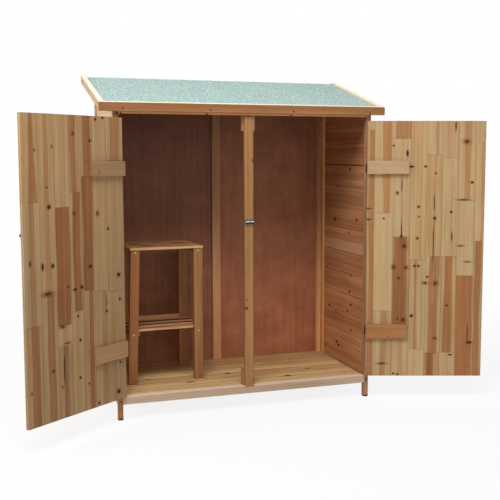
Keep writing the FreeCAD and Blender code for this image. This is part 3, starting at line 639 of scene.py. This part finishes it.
# Painted light at the foot of the rear legs and painted shade higher up.
rear_leg_wood = wood("rear_leg_wood", (232, 176, 118), (188, 132, 80), (186, 122, 72), knots=0.1,
                     joint=0.1, painted_light_by_height=(1.1, 0.9))
front_leg_woods = {
    "left": wood("leg_wood_left", (168, 120, 78), (136, 92, 55), (132, 82, 46), knots=0.1, joint=0.1,
                 specks=PAINTED_FOOT_SHADE),
    "right": wood("leg_wood_right", (174, 134, 104), (144, 106, 79), (144, 96, 67), knots=0.1, joint=0.1,
                  specks=PAINTED_FOOT_SHADE),
}
# Painted shade: the batten darkens strongly towards its top, under the roof.
batten_wood = wood("batten_wood", (206, 158, 118), (172, 122, 86), (162, 110, 74), knots=0.1, joint=0.1,
                   painted_light_by_height=(1.25, 0.55))
# Painted highlight on the fascia's upper face.
fascia_wood = wood("fascia_wood", (160, 116, 76), (136, 94, 58), (132, 84, 50), knots=0.1, joint=0.0,
                   top=(240, 228, 200))
lintel_wood = wood("lintel_wood", (228, 162, 110), (190, 130, 84), (176, 112, 70), knots=0.1, joint=0.0)
# Painted highlight on the barge boards' upper faces.
barge_wood = wood("barge_wood", (232, 208, 176), (206, 174, 134), (196, 154, 112), knots=0.1, joint=0.0,
                  top=(238, 222, 202))
# Painted highlight on the rail's upper face.
rail_wood = wood("rail_wood", (198, 176, 152), (168, 142, 116), (154, 120, 88), axis="x", band=0.25,
                 top=(226, 204, 172))
hidden_wood = wood("hidden_wood", (184, 146, 100), (150, 108, 68), (142, 94, 58), axis="y")
block_wood = wood("block_wood", (196, 156, 108), (164, 122, 78), (152, 104, 64), axis="z", band=0.2)
# The back plywood carries painted shade on its left sheet and painted light at its foot.
back_ply = plywood("back_plywood", (134, 83, 55), (88, 49, 32), painted_light_grade=(0.74, 0.44, 0.78))
roof_ply = plywood("roof_plywood", (178, 134, 92), (138, 96, 62), along="y")
felt_mat = felt("roof_felt")
hinge_steel = metal("hinge_steel", (56, 46, 38), 0.5, metallic=0.0)
zinc = metal("zinc", (150, 146, 140), 0.36)
yellow_screw = metal("yellow_screw", (172, 140, 96), 0.5)
# The keepers' steel carries painted shade on faces that do not look up.
steel = metal("keeper_steel", (186, 184, 178), 0.22, brushed=0.1, under=(52, 44, 38))
dark_screw = metal("dark_screw", (22, 13, 8), 0.6, metallic=0.0)
light_screw = metal("light_screw", (206, 182, 158), 0.42)


def dress(material, *names):
    """Gives CAD nodes their material."""
    for name in names:
        mesh = NODES[name].data
        mesh.materials.clear()
        mesh.materials.append(material)


dress(rail_wood, "rail_front_bottom", "rail_rear_bottom", "rail_rear_top")
dress(hidden_wood, "rail_side_bottom_left", "rail_side_bottom_right", "rail_side_top_left",
      "rail_side_top_right", "rafter_middle", "floor_joists")
dress(block_wood, "post_block_top")
dress(back_ply, "back_panel_left", "back_panel_right")
dress(roof_ply, "roof_board")
dress(felt_mat, "roof_felt")
dress(hinge_steel, "hinge_leaves_left", "hinge_leaves_right", "hinge_pins", "hinge_straps_left",
      "hinge_straps_right")
dress(zinc, "back_nails", "leaf_screws")
dress(steel, "bolt_keepers", "bolt_plate_left", "bolt_plate_right", "bolt_rod_left", "bolt_rod_right",
      "keeper_screws")
dress(dark_screw, "frame_screws")
dress(yellow_screw, "door_screws_left", "door_screws_right")
dress(light_screw, "table_screws")


def rounded_box(low, high, edge, cut):
    """A box with rounded edges, in mm. cut is a point and a direction: what lies past it is cut off."""
    size = [high[i] - low[i] for i in range(3)]
    mid = Vector([(high[i] + low[i]) / 2 for i in range(3)])
    bm = bmesh.new()
    bmesh.ops.create_cube(bm, size=1.0)
    for v in bm.verts:
        v.co = mid + Vector([v.co[i] * size[i] for i in range(3)])
    bmesh.ops.bevel(bm, geom=list(bm.edges), offset=edge, segments=2, profile=0.6, affect="EDGES")
    if cut is not None:
        geom = list(bm.verts) + list(bm.edges) + list(bm.faces)
        bmesh.ops.bisect_plane(bm, geom=geom, plane_co=cut[0], plane_no=cut[1], clear_outer=True)
        bmesh.ops.holes_fill(bm, edges=list(bm.edges))
    bm.verts.index_update()
    return bm


class Boards:
    """Rounded boards in one mesh, each with its own grain, tone and heartwood band."""

    FIELDS = ("grain_place", "board_place", "board_half", "board_band", "board_tone", "raw_place")

    def __init__(self, name, body, nodes, slot, material):
        self.name, self.body, self.nodes, self.slot, self.material = name, body, nodes, slot, material
        self.verts, self.faces = [], []
        self.fields = {key: [] for key in self.FIELDS}

    def add(self, low, high, to_row, along, across, band=None, tone=None, taper=0.0, edge=1.0, cut=None,
            hue=None):
        """One board between two corners in mm, which to_row places.

        along and across are its long axis and its wide one, as X, Y or Z. band is (centre, half width,
        strength) of the heartwood, with the board's half width as 1, and taper widens it along the
        board. tone goes from light 0 to dark 1, and hue from cool -1 to warm 1.
        """
        if band is None:
            centre, half_width = random.uniform(-0.5, 0.5), random.uniform(0.2, 0.6)
            band = (centre, half_width, random.choice((0.1, 0.3, 0.5, 0.7)))
        tone = random.random() if tone is None else tone
        hue = random.uniform(-0.8, 0.8) if hue is None else hue
        seed = Vector((random.uniform(0, 9), random.uniform(-0.02, 0.02), random.uniform(0, 40)))
        flip = random.choice((-1.0, 1.0))
        depth = 3 - along - across
        mid = Vector([(high[i] + low[i]) / 2 for i in range(3)])
        half = Vector([high[i] - low[i] for i in (across, along, depth)]) / 2000.0
        base = len(self.verts)
        bm = rounded_box(low, high, edge, cut)
        for v in bm.verts:
            p = (v.co - mid) / 1000.0
            self.verts.append(to_row(*v.co))
            self.fields["grain_place"].append(Vector((p[across] * flip, p[depth], p[along])) + seed)
            self.fields["board_place"].append((p[across], p[along], p[depth]))
            self.fields["board_half"].append(half)
            self.fields["board_band"].append((band[0] * half.x, band[1] * half.x, band[2]))
            self.fields["board_tone"].append((tone, taper * half.x, hue))
            self.fields["raw_place"].append(v.co / 1000.0)
        for f in bm.faces:
            self.faces.append([base + v.index for v in f.verts])
        bm.free()

    def done(self):
        """Makes the object, which stands for its CAD nodes."""
        mesh = bpy.data.meshes.new(self.name)
        mesh.from_pydata([tuple(v) for v in self.verts], [], self.faces)
        bm = bmesh.new()
        bm.from_mesh(mesh)
        bmesh.ops.recalc_face_normals(bm, faces=bm.faces)
        bm.to_mesh(mesh)
        bm.free()
        for key, data in self.fields.items():
            layer = mesh.attributes.new(key, "FLOAT_VECTOR", "POINT")
            layer.data.foreach_set("vector", [c for v in data for c in v])
        mesh.materials.append(self.material)
        obj = bpy.data.objects.new(self.name, mesh)
        bpy.context.scene.collection.objects.link(obj)
        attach(obj, self.body)
        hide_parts(*self.nodes)


def one_board(name, body, node, slot, material, low, high, to_row, along, across, **look):
    piece = Boards(name, body, [node], slot, material)
    piece.add(low, high, to_row, along, across, **look)
    piece.done()


# Door panels: staves glued side by side. A column is (u of one edge, u of the other, pieces from the top
# down), and a piece is (z of its lower end, band centre, band half width, band strength, tone, taper).
DOOR_COLUMNS = {
    "left": (
        (0, 108, (
            (1199, 0, 0.5, 0.55, 0.4, 0), (620, 0, 0.3, 0.12, 0.5, 0), (DOOR_Z0, 0.3, 0.2, 0.25, 0.4, 0),
        )),
        (108, 192, (
            (629, 0.4, 0.2, 0.2, 0.3, 0), (DOOR_Z0, -0.45, 0.3, 0.45, 0.3, 0),
        )),
        (192, 262, (
            (1133, 0, 0.65, 0.75, 0.5, 0), (643, 0, 0.85, 0.8, 0.7, 0),
            (DOOR_Z0, -0.35, 0.4, 0.75, 0.5, 0),
        )),
        (262, 330, (
            (1068, 0.3, 0.5, 0.65, 0.5, 0), (562, -0.1, 0.6, 0.8, 0.6, 0),
            (DOOR_Z0, 0.1, 0.2, 0.2, 0.2, 0),
        )),
        (330, 412, (
            (1008, 0, 0.4, 0.12, 0.2, 0), (512, 0.05, 0.9, 0.85, 0.35, 0), (423, 0, 0.4, 0.2, 0.2, 0),
            (DOOR_Z0, 0, 0.3, 0.7, 0.6, 0),
        )),
        (412, 498, (
            (648, 0.1, 0.35, 0.3, 0.3, -0.3), (DOOR_Z0, -0.2, 0.45, 0.65, 0.4, 0),
        )),
        (498, 584, (
            (1035, -0.2, 0.35, 0.7, 0.3, -1.2), (532, 0, 0.3, 0.55, 0.3, 0),
            (DOOR_Z0, -0.1, 0.45, 0.7, 0.5, 0),
        )),
    ),
    "right": (
        (0, 37, (
            (1346, 0, 0.5, 0.1, 0.4, 0), (880, 0.2, 0.7, 0.7, 0.6, 0), (DOOR_Z0, 0.1, 0.7, 0.75, 0.6, 0),
        )),
        (37, 130, (
            (939, 0.3, 0.42, 0.75, 0.3, 0.3), (446, 0, 0.5, 0.06, 0.0, 0),
            (DOOR_Z0, 0.15, 0.3, 0.55, 0.4, 0),
        )),
        (130, 216, (
            (1305, 0.15, 0.9, 0.7, 0.5, 0), (820, 0.1, 0.12, 0.3, 0.2, 0), (360, -0.1, 0.75, 1.0, 0.9, 0),
            (DOOR_Z0, 0.05, 0.3, 0.4, 0.4, 0),
        )),
        (216, 296, (
            (705, 0, 0.3, 0.12, 0.4, 0), (252, -0.25, 0.2, 0.6, 0.4, 0), (DOOR_Z0, 0, 0.5, 0.1, 0.1, 0),
        )),
        (296, 373, (
            (1226, 0.35, 0.2, 0.45, 0.3, 0), (722, 0.1, 0.1, 0.35, 0.5, 0), (232, 0.1, 0.62, 0.8, 0.5, 0),
            (DOOR_Z0, -0.3, 0.5, 1.0, 0.9, 0),
        )),
        (373, 450, (
            (1210, 0, 0.5, 0.35, 0.3, 0), (722, 0.3, 0.1, 0.2, 0.35, 0), (235, -0.1, 0.55, 0.85, 0.6, 0),
            (DOOR_Z0, 0, 0.3, 0.1, 0.2, 0),
        )),
        (450, 535, (
            (1000, 0.1, 0.35, 0.6, 0.35, 0.2), (625, 0, 0.3, 0.15, 0.2, 0),
            (DOOR_Z0, 0, 0.95, 0.95, 0.4, 0),
        )),
        (535, 584, (
            (1286, 0, 0.5, 0.1, 0.3, 0), (799, 0.6, 0.35, 0.5, 0.2, 0),
            (DOOR_Z0, -0.1, 0.65, 0.8, 0.6, 0),
        )),
    ),
}

# Heartwood band, tone and hue of the lower and the upper cleat.
CLEAT_LOOKS = {
    "left": (((0.1, 1.2, 0.1), 0.4, 0.1), ((0.1, 0.3, 0.12), 0.6, -0.4)),
    "right": (((0.1, 1.2, 0.9), 0.4, 0.3), ((0.1, 0.3, 0.12), 0.15, -0.4)),
}


def make_door(side):
    """The staves of a door's panel, and its two cleats."""
    body, to_row = "door_" + side, door_place(side)
    panel = Boards("stave_panel_" + side, body, ["door_panel_" + side], "door_wood", door_woods[side])
    for u0, u1, pieces in DOOR_COLUMNS[side]:
        u0, u1 = max(u0, STAVE_INSET), min(u1, DOOR_W - STAVE_INSET)
        top = DOOR_Z1
        for low_z, centre, half, strength, tone, taper in pieces:
            panel.add((u0, 0, low_z), (u1, DOOR_T, top), to_row, Z, X, band=(centre, half, strength),
                      tone=tone, taper=taper, edge=0.6)
            top = low_z
    panel.done()
    cleats = Boards("cleat_boards_" + side, body, ["door_cleats_" + side], "door_wood", cleat_woods[side])
    for (z0, z1), (band, tone, hue) in zip((LOWER_CLEAT, UPPER_CLEAT), CLEAT_LOOKS[side]):
        cleats.add((0, DOOR_T, z0), (CLEAT_LEN, DOOR_T + CLEAT_T, z1), to_row, X, Z, band=band, tone=tone,
                   edge=2.2, hue=hue)
    cleats.done()


# What is drawn level and follows the roof slope: the tops of the legs and the whole lintel, the upper
# edge of the fascia, and the whole of a barge board.
under_roof_place = lifted_above(ROOF_FRONT_Z / 2)
fascia_place = lifted_above(ROOF_FRONT_Z - FASCIA_H / 2)
roof_place = lifted_above(0.0)


def make_wall(side):
    """The boards of a side wall, housed in the grooves of the legs and cut off along the roof slope."""
    cut = (Vector((0, 0, LEG_TOP_Z + rise(0))), Vector((0, -ROOF_SLOPE, 1)).normalized())
    wall = Boards("wall_boards_" + side, "cabinet", ["side_boards_" + side], "wall_wood", wall_woods[side])
    x0, x1 = sorted((SIGN[side] * BOARD_IN_X, SIGN[side] * BOARD_OUT_X))
    y0, y1 = LEG_FRONT_DEPTH - GROOVE_DEPTH, LEG_REAR_Y0 + GROOVE_DEPTH
    for z0, z1 in zip(BOARD_Z, BOARD_Z[1:]):
        # Painted shade on the right wall's upper boards and painted light on the left wall's, set as tone
        # and hue.
        if z0 > TOP_BOARDS_Z:
            tone, hue = (0.85, 0.6) if side == "right" else (0.1, 0.0)
        else:
            tone, hue = random.uniform(0.25, 0.6), random.uniform(-0.4, 0.2)
            if z0 > DARKER_BOARDS_Z and side == "right":
                tone += 0.35
        wall.add((x0, y0, z0), (x1, y1, z1), place, Y, Z, tone=tone, edge=1.5, cut=cut, hue=hue)
    wall.done()


def make_floor():
    """Floor boards with a gap between each two."""
    deck = Boards("deck_boards", "cabinet", ["floor_boards"], "floor_wood", floor_wood)
    for y0, y1 in zip(FLOOR_SEAMS, FLOOR_SEAMS[1:]):
        front = y0 if y0 == FLOOR_SEAMS[0] else y0 + FLOOR_GAP / 2
        rear = y1 if y1 == FLOOR_SEAMS[-1] else y1 - FLOOR_GAP / 2
        deck.add((-LEG_IN_X, front, RAIL_Z1 - FLOOR_T), (LEG_IN_X, rear, RAIL_Z1), place, X, Y,
                 band=(random.uniform(-0.5, 0.5), 0.25, 0.35), edge=1.2, hue=random.uniform(-0.5, 0.3))
    deck.done()


def make_corner(side):
    """The two legs of a side, and the batten in its rear corner."""
    x0, x1 = sorted((SIGN[side] * LEG_IN_X, SIGN[side] * LEG_OUT_X))
    one_board("leg_board_front_" + side, "cabinet", "leg_front_" + side, "frame_wood",
              front_leg_woods[side], (x0, 0, 0), (x1, LEG_FRONT_DEPTH, LEG_TOP_Z), under_roof_place, Z, X,
              tone=0.4, hue=0.4)
    one_board("leg_board_rear_" + side, "cabinet", "leg_rear_" + side, "frame_wood", rear_leg_wood,
              (x0, LEG_REAR_Y0, 0), (x1, LEG_REAR_Y1, LEG_TOP_Z), under_roof_place, Z, X, tone=0.4, hue=0.4)
    x0, x1 = sorted([SIGN[side] * x for x in BATTEN_CORNER_X])
    one_board("batten_" + side, "cabinet", "back_batten_" + side, "frame_wood", batten_wood,
              (x0, LEG_REAR_Y1 - BATTEN_T, RAIL_Z1), (x1, LEG_REAR_Y1, REAR_TOP_Z0), place, Z, X, hue=1.0)


def make_middle():
    """The middle batten on the back, the lintel, the middle post and the block behind its foot."""
    x1 = BATTEN_MIDDLE_W / 2
    one_board("batten_middle", "cabinet", "back_batten_middle", "frame_wood", batten_wood,
              (-x1, LEG_REAR_Y1 - BATTEN_T, RAIL_Z1), (x1, LEG_REAR_Y1, REAR_TOP_Z0), place, Z, X,
              band=(0, 0.5, 0.1), hue=0.2)
    one_board("lintel_board", "cabinet", "lintel_front", "frame_wood", lintel_wood,
              (-LEG_IN_X, 0, LINTEL_Z0), (LEG_IN_X, POST_T, LEG_TOP_Z), under_roof_place, X, Z,
              band=(0, 0.5, 0.4))
    one_board("post_board", "cabinet", "post_middle", "frame_wood", frame_wood,
              (POST_X0, 0, RAIL_Z1 - POST_LET_IN), (POST_X1, POST_T, LINTEL_Z0), place, Z, X,
              band=(-0.3, 0.3, 0.25), tone=0.3, edge=1.5)
    one_board("block_low", "cabinet", "post_block_bottom", "frame_wood", frame_wood,
              (LOW_BLOCK_X0, POST_T, RAIL_Z1), (LOW_BLOCK_X1, POST_T + BLOCK_T, LOW_BLOCK_Z_RIGHT),
              low_block_place, Z, X)


def make_roof_trim():
    """The fascia, which covers the front ends of the barge boards, and these."""
    one_board("fascia_board", "cabinet", "fascia_front", "roof_edge_wood", fascia_wood,
              (-ROOF_HALF_W, ROOF_FRONT_Y, ROOF_FRONT_Z - FASCIA_H), (ROOF_HALF_W, 0, ROOF_FRONT_Z),
              fascia_place, X, Z, band=(0.1, 0.6, 0.4), tone=0.5, edge=1.2)
    for side, sign in SIGN.items():
        x0, x1 = sorted((sign * (ROOF_HALF_W - BARGE_T), sign * ROOF_HALF_W))
        one_board("barge_" + side, "cabinet", "barge_board_" + side, "roof_edge_wood", barge_wood,
                  (x0, 0, ROOF_FRONT_Z - RIM_H), (x1, BACK_Y, ROOF_FRONT_Z), roof_place, Y, Z,
                  band=(0, 0.5, 0.2), edge=1.2)


def make_table_top():
    """Four boards across the table, with gaps between them."""
    top = Boards("table_top_wood", "table", ["table_top_boards"], "table_wood", top_wood)
    for i in range(TABLE_BOARDS):
        y0 = TABLE_Y0 + i * (TABLE_BOARD_W + TABLE_BOARD_GAP)
        top.add((TABLE_X0, y0, TABLE_LEG_TOP), (TABLE_X1, y0 + TABLE_BOARD_W, TABLE_TOP_Z), table_place,
                X, Y, edge=1.2)
    top.done()


def make_table_legs():
    """The front left leg stands askew and is redder than the others."""
    legs = Boards("table_leg_wood", "table", ["table_legs"], "table_wood", leg_wood)
    for x0 in TABLE_LEG_X:
        for y0 in TABLE_LEG_Y:
            to_row, look = table_place, {"band": (0.2, 0.5, 0.3), "tone": 0.8, "hue": -0.2}
            if (x0, y0) == (TABLE_LEG_X[0], TABLE_LEG_Y[0]):
                to_row, look = leaning_place, {"band": (0, 1.2, 0.7), "tone": 0.3, "hue": 0.5}
            legs.add((x0, y0, RAIL_Z1), (x0 + TABLE_LEG_W, y0 + TABLE_LEG_T, TABLE_LEG_TOP), to_row, Z, X,
                     edge=1.2, **look)
    legs.done()


def make_table_rails():
    """Side rails between the legs, under the top boards and under the shelf."""
    rails = Boards("table_rail_wood", "table", ["table_rails"], "table_wood", leg_wood)
    for z1 in (TABLE_LEG_TOP, SHELF_UNDER_Z):
        for x0 in TABLE_LEG_X:
            rails.add((x0, TABLE_LEG_Y[0] + TABLE_LEG_T, z1 - TABLE_LEG_T),
                      (x0 + TABLE_LEG_W, TABLE_LEG_Y[1], z1), table_place, Y, X, edge=0.8)
    rails.done()


def make_shelf():
    """The slats of the shelf, and the stretcher between the rear legs."""
    slats = Boards("table_slat_wood", "table", ["table_shelf_slats"], "table_wood", slat_wood)
    for y0, y1 in SLAT_Y:
        slats.add((SLAT_X[0], y0, SHELF_UNDER_Z), (SLAT_X[1], y1, SHELF_TOP_Z), table_place, X, Y, edge=1.2)
    slats.done()
    one_board("table_stretcher_wood", "table", "table_rear_stretcher", "table_wood", slat_wood,
              (TABLE_LEG_X[0] + TABLE_LEG_W, TABLE_LEG_Y[1], SHELF_UNDER_Z),
              (TABLE_LEG_X[1], TABLE_LEG_Y[1] + TABLE_LEG_T, SHELF_UNDER_Z + STRETCHER_H),
              table_place, X, Z, edge=0.8)


# The calls keep this order, which is the order of the random draws.
for side in SIGN:
    make_door(side)
for side in SIGN:
    make_wall(side)
make_floor()
for side in SIGN:
    make_corner(side)
make_middle()
make_roof_trim()
make_table_top()
make_table_legs()
make_table_rails()
make_shelf()


def make_ground():
    """White to the camera, fading into the white backdrop, and keeping the shadow near the object."""
    mesh = bpy.data.meshes.new("ground")
    corners = ((-1, -1), (1, -1), (1, 1), (-1, 1))
    verts = [(GROUND_HALF * x, GROUND_HALF * y, GROUND_Z) for x, y in corners]
    mesh.from_pydata(verts, [], [(0, 1, 2, 3)])
    obj = bpy.data.objects.new("ground", mesh)
    bpy.context.scene.collection.objects.link(obj)
    w = Net("ground")
    w.bsdf.inputs["Base Color"].default_value = (0.86, 0.86, 0.86, 1)
    w.bsdf.inputs["Roughness"].default_value = 0.9
    w.bsdf.inputs["Specular IOR Level"].default_value = 0.1
    glow = w.node("ShaderNodeEmission")
    ray = w.node("ShaderNodeLightPath").outputs
    seen = w.math("MAXIMUM", w.math("MAXIMUM", ray["Is Camera Ray"], ray["Is Glossy Ray"]),
                  ray["Is Transmission Ray"])
    far = w.vec("LENGTH", w.vec("MULTIPLY", w.node("ShaderNodeTexCoord").outputs["Object"], (1, 1, 0)))
    share = w.mul(seen, w.step(far, 1.2, 4.5, 0.86, 1.0))
    blend = w.node("ShaderNodeMixShader")
    w.put(blend.inputs[0], share)
    w.put(blend.inputs[1], w.bsdf.outputs[0])
    w.put(blend.inputs[2], glow.outputs[0])
    w.put(w.tree.nodes["Material Output"].inputs["Surface"], blend.outputs[0])
    mesh.materials.append(w.mat)


def make_world(strength):
    """White where it is seen, and lighting the object at the given strength."""
    world = bpy.data.worlds.new("world")
    bpy.context.scene.world = world
    world.use_nodes = True
    nodes, links = world.node_tree.nodes, world.node_tree.links
    nodes.clear()
    seen = nodes.new("ShaderNodeBackground")
    seen.inputs["Color"].default_value = (1, 1, 1, 1)
    lit = nodes.new("ShaderNodeBackground")
    lit.inputs["Color"].default_value = (1, 1, 1, 1)
    lit.inputs["Strength"].default_value = strength
    path = nodes.new("ShaderNodeLightPath")
    share = path.outputs["Is Camera Ray"]
    for kind in ("Is Glossy Ray", "Is Transmission Ray"):
        most = nodes.new("ShaderNodeMath")
        most.operation = "MAXIMUM"
        links.new(share, most.inputs[0])
        links.new(path.outputs[kind], most.inputs[1])
        share = most.outputs[0]
    blend = nodes.new("ShaderNodeMixShader")
    links.new(share, blend.inputs[0])
    links.new(lit.outputs[0], blend.inputs[1])
    links.new(seen.outputs[0], blend.inputs[2])
    out = nodes.new("ShaderNodeOutputWorld")
    links.new(blend.outputs[0], out.inputs["Surface"])


def lamp(name, at, target, size, power):
    """A round lamp, with places and size in metres of the row frame and power in watts."""
    data = bpy.data.lights.new(name, "AREA")
    data.shape = "DISK"
    data.size = size
    data.energy = power
    obj = bpy.data.objects.new(name, data)
    bpy.context.scene.collection.objects.link(obj)
    obj.location = at
    obj.rotation_euler = (Vector(target) - Vector(at)).to_track_quat("-Z", "Y").to_euler()


make_camera()
make_ground()
make_world(0.12)
lamp("key", (-1.5, -2.9, 5.2), (0, 0, 0.6), 2.6, 215)
lamp("side", (-5.2, -0.8, 3.0), (-0.4, 0, 1.0), 2.0, 120)
lamp("soft", (0.6, -3.4, 5.2), (0, 0, 0.6), 1.8, 40)
lamp("front", (0.6, -6.0, 2.0), (0, 0, 0.7), 4.0, 50)
lamp("behind", (1.2, 4.6, 3.2), (0, 0.4, 0.8), 3.0, 110)

bpy.context.scene.view_settings.view_transform = "Standard"
